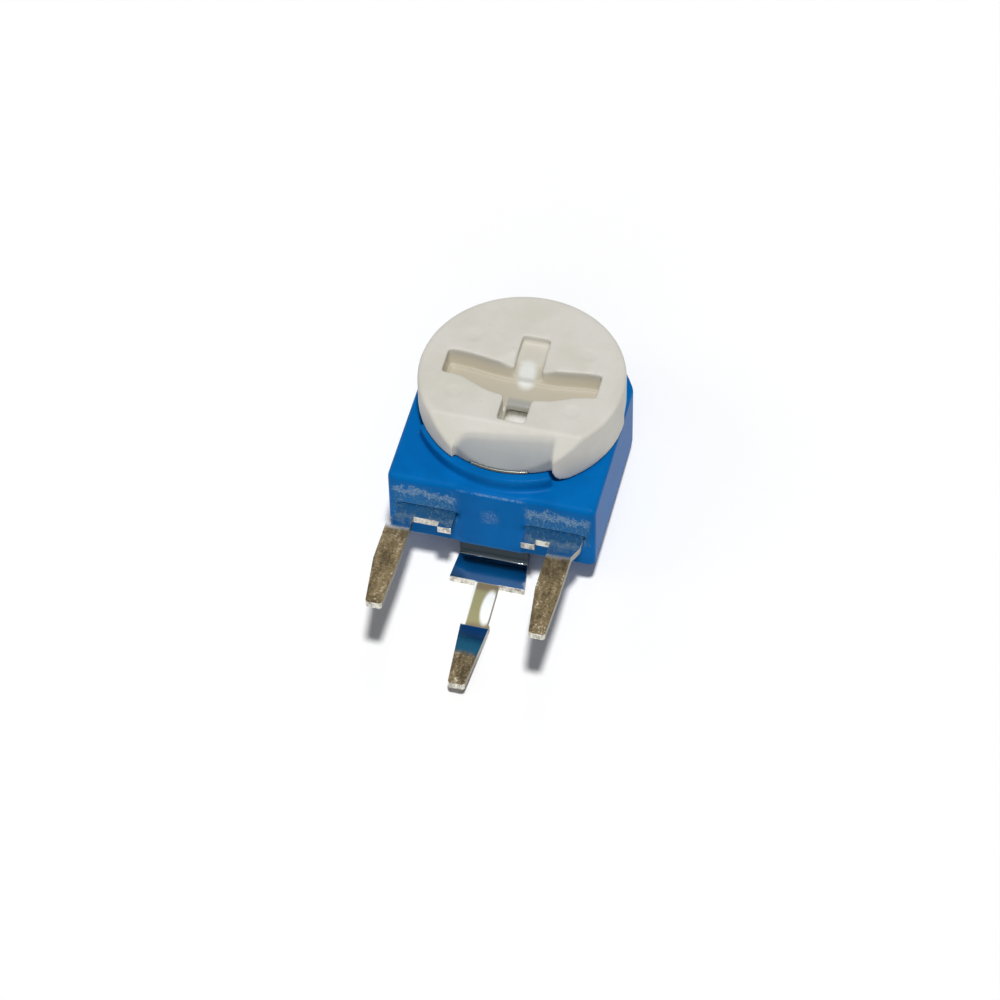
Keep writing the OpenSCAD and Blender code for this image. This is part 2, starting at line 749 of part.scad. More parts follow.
housing();
element_wafer();
carbon_track();
left_end_pad();
right_end_pad();
left_terminal();
right_terminal();
centre_terminal();
pivot_rivet();
wiper();
rotor();
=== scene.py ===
"""Looks of a small side-adjust trimmer potentiometer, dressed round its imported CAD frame.

The part lies on its back with the rotor up and the three legs towards the viewer. Every piece
is a node of the frame: this script rounds its edges, gives it a procedural finish, and sets the
floor, the lights and the camera. The scene is in metres, in the frame's own axes. The finishes
work in millimetres in the same axes.
"""
import logging
import math
from dataclasses import dataclass, field
from enum import Enum

import bmesh
import bpy
from mathutils import Matrix, Vector

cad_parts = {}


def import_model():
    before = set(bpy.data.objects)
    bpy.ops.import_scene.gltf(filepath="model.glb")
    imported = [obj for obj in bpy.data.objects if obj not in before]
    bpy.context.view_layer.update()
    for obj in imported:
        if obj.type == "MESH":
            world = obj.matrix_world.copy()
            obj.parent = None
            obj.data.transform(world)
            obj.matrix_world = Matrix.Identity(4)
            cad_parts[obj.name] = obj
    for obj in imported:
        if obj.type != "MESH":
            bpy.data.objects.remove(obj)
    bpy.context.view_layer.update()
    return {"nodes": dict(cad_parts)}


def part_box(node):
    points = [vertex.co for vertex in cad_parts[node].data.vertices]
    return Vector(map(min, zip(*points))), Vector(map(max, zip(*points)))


LOG = logging.getLogger("trimmer")
MM = 0.001
PER_MM = 1 / MM

Triple = tuple[float, float, float]
Colour = Triple
Pair = tuple[float, float]
Inputs = dict[str | int, object]
Settings = dict[str, object]

# A Fade is where a mask is 0 and where it is 1. A Band is where a mask starts and ends, and the
# width of its soft edges.
Fade = tuple[float, float]
Band = tuple[float, float, float]


class Socket:
    """A node's output socket that takes part in Python arithmetic."""

    def __init__(self, nodes: "Nodes", link: bpy.types.NodeSocket) -> None:
        """Keeps the socket and the maker of its tree.

        Args:
            nodes: The maker that owns the tree.
            link: The output socket that holds the value.
        """
        self.nodes = nodes
        self.link = link

    def _math(self, operation: str, *operands: object) -> "Socket":
        """Adds one Math node.

        Args:
            operation: The Math node's operation.
            operands: Its inputs in order, numbers or sockets.

        Returns:
            The node's result.
        """
        inputs = dict(enumerate(operands))
        return self.nodes.make("ShaderNodeMath", {"operation": operation}, inputs).out()

    def __add__(self, other: object) -> "Socket":
        """Sum with a number or a socket."""
        return self._math("ADD", self, other)

    __radd__ = __add__

    def __sub__(self, other: object) -> "Socket":
        """Difference from a number or a socket."""
        return self._math("SUBTRACT", self, other)

    def __rsub__(self, other: object) -> "Socket":
        """A number less this value."""
        return self._math("SUBTRACT", other, self)

    def __mul__(self, other: object) -> "Socket":
        """Product with a number or a socket."""
        return self._math("MULTIPLY", self, other)

    __rmul__ = __mul__

    def __truediv__(self, other: object) -> "Socket":
        """Quotient by a number or a socket."""
        return self._math("DIVIDE", self, other)

    def __rtruediv__(self, other: object) -> "Socket":
        """A number over this value."""
        return self._math("DIVIDE", other, self)

    def __abs__(self) -> "Socket":
        """The size of the value without its sign."""
        return self._math("ABSOLUTE", self)

    def __neg__(self) -> "Socket":
        """The value with its sign turned."""
        return self._math("MULTIPLY", self, -1)

    def __or__(self, other: object) -> "Socket":
        """The larger of two masks or values."""
        return self._math("MAXIMUM", self, other)

    __ror__ = __or__

    def root(self) -> "Socket":
        """The square root of the value."""
        return self._math("SQRT", self)

    def between(self, none: float, full: float) -> "Socket":
        """Changes smoothly from 0 to 1 as the value goes from none to full.

        Args:
            none: The value at which the result is 0.
            full: The value at which the result is 1. It may be the lower of the two.

        Returns:
            A mask from 0 to 1.
        """
        inputs = {"Value": self, "From Min": min(none, full), "From Max": max(none, full)}
        if none > full:
            inputs |= {"To Min": 1.0, "To Max": 0.0}
        settings = {"interpolation_type": "SMOOTHSTEP"}
        return self.nodes.make("ShaderNodeMapRange", settings, inputs).out()

    def band(self, low: float, high: float, soft: float) -> "Socket":
        """A mask that is 1 from low to high and fades over soft on both sides.

        Args:
            low: Where the band starts.
            high: Where the band ends.
            soft: The width of each faded edge.

        Returns:
            A mask from 0 to 1.
        """
        return self.between(low - soft, low) * self.between(high + soft, high)


# A Point is three coordinates. A Look is a surface's colour, roughness and metallic, and the mask
# of its sheared edges.
Point = tuple[Socket, Socket, Socket]
Look = tuple[Socket, Socket, object, Socket]


@dataclass(frozen=True)
class Made:
    """A node that was just made, with a short way to its outputs."""

    nodes: "Nodes"
    node: bpy.types.Node

    def out(self, name: str | int = 0) -> Socket:
        """The output of that name or place."""
        return Socket(self.nodes, self.node.outputs[name])


@dataclass(frozen=True)
class Cloud:
    """One cloudy noise: its scale, its finer layers and how it is squeezed along the axes."""

    per_mm: float
    detail: float
    rough: float = 0.5
    squeeze: Triple | None = None


class Nodes:
    """Maker of the nodes of one material, world or node group."""

    def __init__(self, tree: bpy.types.NodeTree) -> None:
        """Empties the tree and keeps it.

        Args:
            tree: The node tree to fill.
        """
        self.tree = tree
        tree.nodes.clear()

    def make(self, kind: str, settings: Settings | None = None,
             inputs: Inputs | None = None) -> Made:
        """Adds a node: its type, then its settings, then its inputs.

        Args:
            kind: The node's type name.
            settings: Attributes of the node, such as a Math node's operation.
            inputs: Values or links of its sockets, by name or place.

        Returns:
            The node.
        """
        node = self.tree.nodes.new(kind)
        for key, value in (settings or {}).items():
            setattr(node, key, value)
        for key, value in (inputs or {}).items():
            if isinstance(value, Socket):
                self.tree.links.new(value.link, node.inputs[key])
            else:
                node.inputs[key].default_value = value
        return Made(self, node)

    def place(self) -> Socket:
        """The point on the piece, in millimetres from the frame's origin."""
        point = self.make("ShaderNodeTexCoord").out("Object")
        inputs = {0: point, "Scale": PER_MM}
        return self.make("ShaderNodeVectorMath", {"operation": "SCALE"}, inputs).out()

    def squeezed(self, vector: Socket, factors: Triple) -> Socket:
        """The vector with each axis multiplied by its factor."""
        inputs = {0: vector, 1: factors}
        return self.make("ShaderNodeVectorMath", {"operation": "MULTIPLY"}, inputs).out()

    def split(self, vector: Socket) -> Point:
        """The three parts of a vector."""
        made = self.make("ShaderNodeSeparateXYZ", None, {0: vector})
        return made.out(0), made.out(1), made.out(2)

    def facing(self, axis: int) -> Socket:
        """1 on faces square to an axis of the part, 0 on faces along it.

        Args:
            axis: 0, 1 or 2 for X, Y or Z.

        Returns:
            The mask.
        """
        normal = self.make("ShaderNodeNewGeometry").out("Normal")
        return abs(self.split(normal)[axis])

    def noise(self, point: Socket, cloud: Cloud) -> Socket:
        """Cloudy noise from 0 to 1.

        Args:
            point: The point in millimetres.
            cloud: The noise's settings.

        Returns:
            The noise's value.
        """
        if cloud.squeeze:
            point = self.squeezed(point, cloud.squeeze)
        inputs = {"Vector": point, "Scale": cloud.per_mm, "Detail": cloud.detail,
                  "Roughness": cloud.rough}
        return self.make("ShaderNodeTexNoise", None, inputs).out("Fac")

    def cells(self, point: Socket, per_mm: float) -> Socket:
        """Distance to the nearest of scattered points, in parts of a cell."""
        inputs = {"Vector": point, "Scale": per_mm}
        return self.make("ShaderNodeTexVoronoi", None, inputs).out("Distance")

    def blend(self, mask: object, first: object, second: object) -> Socket:
        """Mixes two colours.

        Args:
            mask: 0 gives the first colour and 1 the second.
            first: A colour or a socket.
            second: A colour or a socket.

        Returns:
            The mixed colour.
        """
        inputs: Inputs = {0: mask}
        for key, value in ((6, first), (7, second)):
            inputs[key] = value if isinstance(value, Socket) else (*value, 1.0)
        return self.make("ShaderNodeMix", {"data_type": "RGBA"}, inputs).out(2)

    def bump(self, height: Socket, depth: float) -> Socket:
        """A normal disturbed by a height.

        Args:
            height: The height from 0 to 1.
            depth: What a height of 1 stands for, in metres.

        Returns:
            The normal.
        """
        inputs = {"Height": height, "Distance": depth, "Strength": 1.0}
        return self.make("ShaderNodeBump", None, inputs).out()

    def surface(self, inputs: Inputs) -> None:
        """Ends the tree with one Principled shader.

        Args:
            inputs: Values or links of the shader's sockets.
        """
        shader = self.make("ShaderNodeBsdfPrincipled", None, inputs).out()
        self.make("ShaderNodeOutputMaterial", None, {"Surface": shader})


def new_material(name: str) -> tuple[bpy.types.Material, Nodes]:
    """Makes an empty material.

    Args:
        name: The material's name.

    Returns:
        The material and the maker of its nodes.
    """
    material = bpy.data.materials.new(name)
    material.use_nodes = True
    return material, Nodes(material.node_tree)


def oval(x: Socket, y: Socket, centre: Pair, half: Pair) -> Socket:
    """How far a point lies from the middle of an oval.

    Args:
        x: The point's first coordinate.
        y: The point's second coordinate.
        centre: The oval's middle.
        half: Its two half widths.

    Returns:
        0 in the middle and 1 on the rim.
    """
    across, along = (x - centre[0]) / half[0], (y - centre[1]) / half[1]
    return (across * across + along * along).root()


@dataclass(frozen=True)
class BluePlastic:
    """Satin blue moulding compound of the housing.

    A pale speckled band of painted light, reflected up from the flag below, runs above each flag
    over a greyer band flecked with more of that light. A rub mark sits in the middle of the front
    panel, and a painted highlight runs along the panel's top edge.
    """

    base: Colour = (0.0004, 0.138, 0.438)
    deep: Colour = (0.0004, 0.118, 0.385)
    grey: Colour = (0.055, 0.155, 0.26)
    # Pale colour of the rub mark, the painted reflected light and the painted highlight.
    rub_and_highlight: Colour = (0.36, 0.50, 0.64)
    smoothest: float = 0.22
    specular: float = 0.03
    grain_depth: float = 0.0025 * MM
    clouds: Cloud = Cloud(0.9, 3.0)
    grain: Cloud = Cloud(16.0, 3.0, 0.6)
    flecks: Cloud = Cloud(17.0, 4.0, 0.8, (1.0, 1.0, 0.6))
    wander: Cloud = Cloud(3.0, 3.0, 0.7)
    wander_reach: float = 1.1
    fleck_reach: float = 0.7
    rough_grain: float = 0.16
    rough_clouds: float = 0.08
    mid_x: float = -0.12
    front_y: Fade = (-3.42, -3.48)
    flags_x: Band = (1.2, 2.95, 0.2)
    # Height of a greyer, speckled band above each flag.
    grey_band_z: Band = (1.03, 1.95, 0.3)
    # Height of the painted light reflected up from each flag.
    fringe_z: Band = (1.89, 2.01, 0.14)
    rub_x: Fade = (0.4, 0.05)
    rub_z: Band = (1.35, 1.6, 0.2)
    rub_strength: float = 0.4
    # Where the painted highlight runs along the front panel's top edge.
    edge_x: Fade = (1.15, 0.85)
    edge_y: Fade = (-3.3, -3.45)
    edge_slope: Band = (-1.05, -1.0, 0.05)
    edge_gaps: Fade = (0.32, 0.5)
    edge_flecks: Fade = (0.4, 0.6)
    edge_waver: float = 0.1
    edge_highlight_strength: float = 0.6
    deep_share: Fade = (0.35, 0.65)
    grey_share: Fade = (0.36, 0.6)
    grey_strength: float = 0.75
    pale_gap_share: Fade = (0.42, 0.6)
    pale_gap_least: float = 0.2
    # Pale specks of painted reflected light in the greyer band.
    reflected_speck_share: Fade = (0.55, 0.66)
    reflected_speck_strength: float = 0.8
    rub_and_highlight_strength: float = 0.6

    def material(self) -> bpy.types.Material:
        """Builds the material."""
        material, nodes = new_material("housing_blue")
        point = nodes.place()
        x, y, z = nodes.split(point)
        aside = abs(x - self.mid_x)
        clouds = nodes.noise(point, self.clouds)
        grain = nodes.noise(point, self.grain)
        flecks = nodes.noise(point, self.flecks)
        wander = nodes.noise(point, self.wander)
        ragged_z = z + (wander - 0.5) * self.wander_reach + (flecks - 0.5) * self.fleck_reach
        front = y.between(*self.front_y)
        above_flags = aside.band(*self.flags_x) * front
        # A greyer band above each flag, darkened in flecks.
        grey_band = above_flags * ragged_z.band(*self.grey_band_z)
        # Painted light reflected up from the flag: a pale speckled band along the top of the grey
        # band.
        reflected_fringe = above_flags * ragged_z.band(*self.fringe_z)
        rub = aside.between(*self.rub_x) * ragged_z.band(*self.rub_z) * front
        # A painted highlight along the front panel's top edge, broken into flecks.
        slope = y + z + flecks * self.edge_waver
        edge = slope.band(*self.edge_slope) * y.between(*self.edge_y)
        edge = aside.between(*self.edge_x) * edge * clouds.between(*self.edge_gaps)
        greying = grey_band * flecks.between(*self.grey_share) * self.grey_strength
        gaps = grain.between(*self.pale_gap_share) * (1 - self.pale_gap_least) + self.pale_gap_least
        # The painted reflected light and the rub mark, broken into gaps by the grain.
        reflected_and_rubbed = (reflected_fringe | rub * self.rub_strength) * gaps
        # Pale specks of painted reflected light in the greyer band.
        reflected_specks = grey_band * flecks.between(*self.reflected_speck_share) * self.reflected_speck_strength
        edge_highlight = edge * flecks.between(*self.edge_flecks) * self.edge_highlight_strength
        colour = nodes.blend(clouds.between(*self.deep_share), self.deep, self.base)
        # The band above each flag turns greyer in flecks.
        colour = nodes.blend(greying, colour, self.grey)
        # Pale colour: the real rub mark, the painted reflected light and the painted highlight.
        pale = reflected_and_rubbed | reflected_specks | edge_highlight
        colour = nodes.blend(pale * self.rub_and_highlight_strength, colour, self.rub_and_highlight)
        nodes.surface({
            "Base Color": colour,
            "Roughness": grain * self.rough_grain + clouds * self.rough_clouds + self.smoothest,
            "Specular IOR Level": self.specular,
            "Normal": nodes.bump(grain * 0.6 + clouds * 0.4, self.grain_depth),
        })
        return material


@dataclass(frozen=True)
class IvoryPlastic:
    """Off-white moulding compound of the rotor.

    It has painted shade on the floor of the cross slot and painted light on its sides, with a
    painted highlight in the middle. The pocket, where the plastic is only a skin, is greyer with
    painted shade. Fine rubs and specks lie all over it.
    """

    base: Colour = (0.645, 0.628, 0.575)
    warm: Colour = (0.600, 0.578, 0.515)
    # Painted shade on the cross slot's floor and painted light on its sides.
    shaded_slot_floor: Colour = (0.470, 0.435, 0.350)
    lit_slot_wall: Colour = (0.760, 0.710, 0.590)
    shaded: Colour = (0.335, 0.335, 0.315)
    lit: Colour = (0.90, 0.89, 0.78)
    # Painted shade in the pocket.
    pocket_shade: Colour = (0.265, 0.290, 0.310)
    # Painted highlight on the ramp of the back arm.
    ramp_highlight: Colour = (0.70, 0.72, 0.70)
    rub: Colour = (0.43, 0.42, 0.38)
    smoothest: float = 0.36
    rough_grain: float = 0.14
    rough_streaks: float = 0.1
    pocket_sheen: float = 0.12
    specular: float = 0.25
    grain_depth: float = 0.003 * MM
    clouds: Cloud = Cloud(0.7, 4.0, 0.6)
    grain: Cloud = Cloud(14.0, 3.0, 0.6)
    streaks: Cloud = Cloud(1.6, 3.0, 0.6, (1.0, 9.0, 9.0))
    specks_per_mm: float = 2.3
    speck_radius: Fade = (0.085, 0.05)
    speck_share: Fade = (0.45, 0.6)
    speck_strength: float = 0.5
    streak_share: Fade = (0.6, 0.78)
    streak_strength: float = 0.25
    warm_share: Fade = (0.35, 0.7)
    flat_tilt: Fade = (0.25, 0.75)
    slot_z: Fade = (4.12, 3.77)
    slot_x: Fade = (2.5, 2.42)
    slot_front: Fade = (-1.95, -1.88)
    slot_back: Fade = (1.62, 1.56)
    back_arm_y: Fade = (0.45, 0.9)
    back_arm_strength: float = 0.5
    front_arm_x: Band = (-0.3, 0.53, 0.03)
    front_arm_y: Fade = (-0.3, -0.5)
    front_arm_z: Fade = (3.5, 3.44)
    front_arm_strength: float = 0.9
    arm_mid_x: float = 0.115
    arm_wall_inner: Fade = (0.36, 0.42)
    arm_wall_outer: Fade = (0.6, 0.5)
    arm_wall_back: Fade = (0.5, 0.8)
    arm_wall_front: Fade = (-0.7, -1.0)
    gloss_centre: Pair = (0.05, 0.42)
    gloss_half: Pair = (0.38, 0.54)
    gloss_rim: Fade = (1.0, 0.4)
    ramp_highlight_strength: float = 0.9
    pocket_hub_x: float = -0.97
    pocket_hub_z: float = 3.38
    pocket_rise: float = 0.0856
    pocket_rim: Fade = (0.56, 0.28)
    pocket_side: Fade = (1.64, 1.5)
    pocket_y: Fade = (-1.9, -2.0)
    pocket_z: Fade = (4.1, 3.3)
    pocket_shade_least: float = 0.42
    pocket_shade_depth: float = 0.4
    pocket_shade_clouds: float = 0.25

    def material(self) -> bpy.types.Material:
        """Builds the material."""
        material, nodes = new_material("rotor_ivory")
        point = nodes.place()
        x, y, z = nodes.split(point)
        clouds = nodes.noise(point, self.clouds)
        grain = nodes.noise(point, self.grain)
        streaks = nodes.noise(point, self.streaks)
        flat = nodes.facing(2).between(*self.flat_tilt)
        in_slot = z.between(*self.slot_z) * abs(x).between(*self.slot_x)
        in_slot = in_slot * y.between(*self.slot_front) * y.between(*self.slot_back)
        pocket = self.pocket_mask(x, y, z)
        # Painted shade in the pocket, darker towards the bottom and varied by the clouds.
        pocket_shade = z.between(*self.pocket_z) * self.pocket_shade_depth + clouds * self.pocket_shade_clouds
        pocket_shade = pocket * (pocket_shade + self.pocket_shade_least)
        colour = nodes.blend(clouds.between(*self.warm_share), self.base, self.warm)
        colour = self.slot_colour(nodes, (x, y, z), colour, flat, in_slot)
        colour = nodes.blend(pocket_shade, colour, self.pocket_shade)
        rubbed = streaks.between(*self.streak_share) * self.streak_strength
        colour = nodes.blend(rubbed, colour, self.rub)
        specks = nodes.cells(point, self.specks_per_mm).between(*self.speck_radius)
        specks = specks * grain.between(*self.speck_share)
        colour = nodes.blend(specks * self.speck_strength, colour, self.rub)
        rough = grain * self.rough_grain + streaks * self.rough_streaks + self.smoothest
        nodes.surface({
            "Base Color": colour,
            "Roughness": rough - pocket * self.pocket_sheen,
            "Specular IOR Level": self.specular,
            "Normal": nodes.bump(grain * 0.7 + clouds * 0.3, self.grain_depth),
        })
        return material

    def slot_colour(self, nodes: Nodes, point: Point, colour: Socket, flat: Socket,
                    in_slot: Socket) -> Socket:
        """Colours the cross slot with painted light, painted shade and a painted highlight.

        Args:
            nodes: The material's maker.
            point: The three coordinates.
            colour: The colour outside the slot.
            flat: Mask of the faces that look up.
            in_slot: Mask of the slot.

        Returns:
            The colour with the slot in it.
        """
        x, y, z = point
        # The slot's floor gets painted shade and its sides painted light.
        colour = nodes.blend(in_slot, colour, nodes.blend(flat, self.lit_slot_wall, self.shaded_slot_floor))
        back_arm = y.between(*self.back_arm_y) * flat * in_slot
        # In the back arm the floor's painted shade is lifted halfway to the base colour.
        colour = nodes.blend(back_arm * self.back_arm_strength, colour, self.base)
        front_arm = x.band(*self.front_arm_x) * y.between(*self.front_arm_y) * in_slot
        front_arm = front_arm * (flat | z.between(*self.front_arm_z))
        # Painted shade on the front arm's floor.
        colour = nodes.blend(front_arm * self.front_arm_strength, colour, self.shaded)
        aside = abs(x - self.arm_mid_x)
        arm_wall = aside.between(*self.arm_wall_inner) * aside.between(*self.arm_wall_outer)
        ends = y.between(*self.arm_wall_back) | y.between(*self.arm_wall_front)
        # Painted light on the arm sides near their ends.
        colour = nodes.blend(arm_wall * ends * in_slot, colour, self.lit)
        # A painted highlight on the back arm's ramp, soft at its rim.
        ramp_highlight = oval(x, y, self.gloss_centre, self.gloss_half).between(*self.gloss_rim)
        return nodes.blend(ramp_highlight * in_slot * self.ramp_highlight_strength, colour, self.ramp_highlight)

    def pocket_mask(self, x: Socket, y: Socket, z: Socket) -> Socket:
        """The pocket in front: its upper left corner is round and its right side straight.

        Args:
            x: The coordinate across the part.
            y: The coordinate along the part.
            z: The height.

        Returns:
            1 inside the pocket, 0 outside.
        """
        past = x - self.pocket_hub_x
        across = -past | 0
        above = (z - (past | 0) * self.pocket_rise - self.pocket_hub_z) | 0
        pocket = (across * across + above * above).root().between(*self.pocket_rim)
        return pocket * x.between(*self.pocket_side) * y.between(*self.pocket_y)


@dataclass(frozen=True)
class TinPlate:
    """Tinned terminal sheet: bright by the housing, dull and speckled towards the leg's tip.

    dull_y is where the dull end starts and tip_y where the leg ends. The dull end has painted
    glints, and the long sheared sides have painted shade.
    """

    name: str
    dull_y: float
    tip_y: float
    bright: Colour = (0.66, 0.68, 0.68)
    dull: Colour = (0.092, 0.069, 0.040)
    spot: Colour = (0.300, 0.233, 0.128)
    # Colour of the painted glints on the dull end.
    glint: Colour = (0.74, 0.69, 0.58)
    shade: Colour = (0.20, 0.18, 0.14)
    sheared: Colour = (0.76, 0.74, 0.67)
    # Painted shade on the long sheared sides of the legs.
    side: Colour = (0.30, 0.28, 0.235)
    bright_roughness: float = 0.06
    dull_roughness: float = 0.34
    grain_depth: float = 0.002 * MM
    clouds: Cloud = Cloud(1.3, 3.0)
    grain: Cloud = Cloud(13.0, 5.0, 0.72)
    rolled: Cloud = Cloud(1.0, 3.0, squeeze=(12.0, 1.5, 1.0))
    blotches: Cloud = Cloud(1.0, 4.0, 0.65, (3.4, 1.3, 3.0))
    torn: Cloud = Cloud(5.0, 4.0, 0.7, (1.0, 1.0, 0.5))
    rough_grain: float = 0.05
    rough_edge: float = 0.22
    dull_wander: float = 0.24
    dull_before: float = 0.16
    dull_after: float = 0.1
    spot_share: Fade = (0.40, 0.62)
    glint_share: Fade = (0.575, 0.64)
    glint_strength: float = 0.8
    tip_reach: float = 0.6
    tip_gain: float = 0.03
    sheared_tilt: Fade = (0.75, 0.35)
    sheared_share: Fade = (0.36, 0.56)
    end_tilt: Fade = (0.3, 0.6)

    def material(self) -> bpy.types.Material:
        """Builds the material."""
        material, nodes = new_material(self.name)
        point = nodes.place()
        x, y, z = nodes.split(point)
        clouds = nodes.noise(point, self.clouds)
        grain = nodes.noise(point, self.grain)
        rolled = nodes.noise(point, self.rolled)
        edge = nodes.facing(2).between(*self.sheared_tilt)
        ragged_y = y + (clouds - 0.5) * self.dull_wander
        dulled = ragged_y.between(self.dull_y + self.dull_before, self.dull_y - self.dull_after)
        blotches = nodes.noise(point, self.blotches)
        spots = (grain * 0.45 + rolled * 0.15 + blotches * 0.4).between(*self.spot_share)
        dull = nodes.blend(spots, self.dull, self.spot)
        tip = y.between(self.tip_y + self.tip_reach, self.tip_y) * self.tip_gain
        # Painted glints: bright flecks standing for highlights, a few more near the tip.
        painted_glints = (grain * 0.6 + blotches * 0.4 + tip).between(*self.glint_share)
        dull = nodes.blend(painted_glints * self.glint_strength, dull, self.glint)
        colour = nodes.blend(dulled, self.bright_colour(nodes, y), dull)
        shine = dulled * (self.dull_roughness - self.bright_roughness) + self.bright_roughness
        look = self.stain(nodes, (x, y, z), clouds, (colour, shine, 1.0, edge))
        colour, shine, metallic, edge = look
        torn = (nodes.noise(point, self.torn) * 0.6 + grain * 0.4).between(*self.sheared_share)
        rim = nodes.blend(torn, self.shade, self.sheared)
        # The long sides take the painted shade colour; the ends keep the torn mix.
        rim = nodes.blend(nodes.facing(1).between(*self.end_tilt), self.side, rim)
        nodes.surface({
            "Base Color": nodes.blend(edge, colour, rim),
            "Metallic": metallic,
            "Roughness": shine + grain * self.rough_grain + edge * self.rough_edge,
            "Normal": nodes.bump(grain * 0.7 + rolled * 0.3, self.grain_depth),
        })
        return material

    def bright_colour(self, nodes: Nodes, y: Socket) -> object:
        """The colour of the bright end: plain tin."""
        return self.bright

    def stain(self, nodes: Nodes, point: Point, clouds: Socket, look: Look) -> Look:
        """Leaves the look as it is: plain tin has nothing painted on it here."""
        return look


@dataclass(frozen=True)
class CentreTin(TinPlate):
    """Sheet of the centre terminal, painted with light and shade.

    Its neck has a painted highlight and painted shading, the sheet past the bend a painted blue
    reflection, and its root painted shade.
    """

    # Painted blue reflection of the housing past the bend, deeper further along.
    reflected_blue: Colour = (0.17, 0.30, 0.40)
    reflected_deep_blue: Colour = (0.016, 0.10, 0.18)
    # White of the painted highlight on the neck.
    neck: Colour = (0.95, 0.95, 0.91)
    # Painted shading on the neck: olive, and umber towards its ends.
    olive: Colour = (0.33, 0.31, 0.15)
    umber: Colour = (0.22, 0.17, 0.09)
    # Painted shade at the root, where the sheet comes out under the housing.
    root_shade: Colour = (0.030, 0.042, 0.052)
    neck_roughness: float = 0.45
    # Low metallic on the neck lets the painted highlight show.
    neck_metallic: float = 0.3
    mid_x: float = -0.12
    reflected_blue_y: Fade = (-5.6, -5.75)
    reflected_deep_blue_y: Fade = (-5.85, -6.2)
    neck_y: Band = (-5.68, -4.2, 0.06)
    glare_centre: Pair = (0.25, -5.0)
    glare_half: Pair = (0.21, 0.58)
    glare_rim: Fade = (1.25, 0.8)
    glare_left: Fade = (-0.26, -0.32)
    umber_reach: Fade = (0.85, 1.25)
    umber_wander: float = 0.6
    root_shade_y: Band = (-3.26, -2.91, 0.15)
    root_shade_z: Fade = (0.3, 0.2)
    sheared_y: Fade = (-3.31, -3.41)

    def bright_colour(self, nodes: Nodes, y: Socket) -> object:
        """The bright end's colour, with a painted blue reflection that deepens past the bend.

        Args:
            nodes: The material's maker.
            y: The coordinate along the part.

        Returns:
            The colour.
        """
        # Painted blue reflection past the bend, deeper further along.
        colour = nodes.blend(y.between(*self.reflected_blue_y), self.bright, self.reflected_blue)
        return nodes.blend(y.between(*self.reflected_deep_blue_y), colour, self.reflected_deep_blue)

    def stain(self, nodes: Nodes, point: Point, clouds: Socket, look: Look) -> Look:
        """Paints light and shade on the neck and the root, and keeps the sheared look off the
        plate.

        Args:
            nodes: The material's maker.
            point: The three coordinates.
            clouds: The cloudy noise that the painted shading follows.
            look: Colour, roughness, metallic and mask of the sheared edges.

        Returns:
            The same four, with the painted light and shade.
        """
        x, y, z = point
        colour, shine, _, edge = look
        neck = y.band(*self.neck_y)
        side = x - self.mid_x
        # The neck's painted highlight, and its left rim.
        glare = oval(side, y, self.glare_centre, self.glare_half).between(*self.glare_rim)
        glare = glare | side.between(*self.glare_left)
        along = (y - self.glare_centre[1]) / self.glare_half[1]
        ends = abs(along + (clouds - 0.5) * self.umber_wander).between(*self.umber_reach)
        # Painted shading on the neck, olive in the middle and umber at its ends.
        neck_shading = nodes.blend(ends, self.olive, self.umber)
        colour = nodes.blend(neck, colour, nodes.blend(glare, neck_shading, self.neck))
        # Painted shade: the root under the housing is darkened to near black.
        root_shaded = y.band(*self.root_shade_y) * z.between(*self.root_shade_z)
        colour = nodes.blend(root_shaded, colour, self.root_shade)
        shine = shine + neck * (self.neck_roughness - self.bright_roughness)
        metallic = 1 - neck * (1 - self.neck_metallic)
        return colour, shine, metallic, edge * y.between(*self.sheared_y)


@dataclass(frozen=True)
class SpringSheet:
    """Bright rolled sheet of the wiper, yellower on its sheared edges."""

    base: Colour = (0.72, 0.71, 0.66)
    stain: Colour = (0.50, 0.47, 0.38)
    sheared: Colour = (0.36, 0.31, 0.19)
    smoothest: float = 0.2
    rough_streaks: float = 0.2
    rough_edge: float = 0.2
    streak_depth: float = 0.0015 * MM
    streaks: Cloud = Cloud(1.0, 3.0, squeeze=(22.0, 0.8, 1.0))
    clouds: Cloud = Cloud(1.8, 3.0)
    stain_share: Fade = (0.5, 0.75)
    sheared_tilt: Fade = (0.8, 0.4)

    def material(self) -> bpy.types.Material:
        """Builds the material."""
        material, nodes = new_material("wiper_sheet")
        point = nodes.place()
        streaks = nodes.noise(point, self.streaks)
        clouds = nodes.noise(point, self.clouds)
        colour = nodes.blend(clouds.between(*self.stain_share), self.base, self.stain)
        edge = nodes.facing(2).between(*self.sheared_tilt)
        nodes.surface({
            "Base Color": nodes.blend(edge, colour, self.sheared),
            "Metallic": 1.0,
            "Roughness": streaks * self.rough_streaks + edge * self.rough_edge + self.smoothest,
            "Normal": nodes.bump(streaks, self.streak_depth),
        })
        return material


